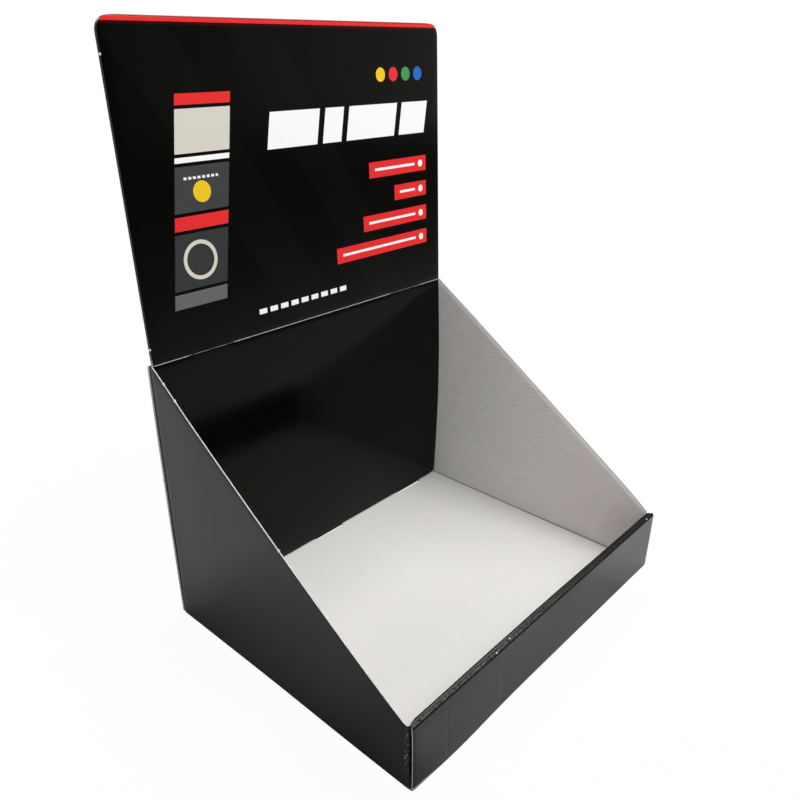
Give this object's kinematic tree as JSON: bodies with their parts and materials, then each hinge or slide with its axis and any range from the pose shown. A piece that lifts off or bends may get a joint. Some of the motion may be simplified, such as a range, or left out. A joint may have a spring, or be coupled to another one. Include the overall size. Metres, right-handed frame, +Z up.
{
  "type": "counter display",
  "caption": "Folded corrugated board counter display: open tray with slanted sides and a rolled front lip, and a tall header card locked inside its back wall.",
  "frame": {"origin": "centre of the tray's footprint, on the counter", "axes": "+Z up, -Y towards the customer at the front lip, +X to the right seen from the front"},
  "size_m": [0.272, 0.2222, 0.3781],
  "materials": {
    "tray_board": "black satin print outside, white uncoated liner inside",
    "header_board": "black gloss print on the front and back, white core at the cut edges"
  },
  "bodies": {
    "root": {"tray": "tray_board", "header_card": "header_board"}
  },
  "joints": []
}
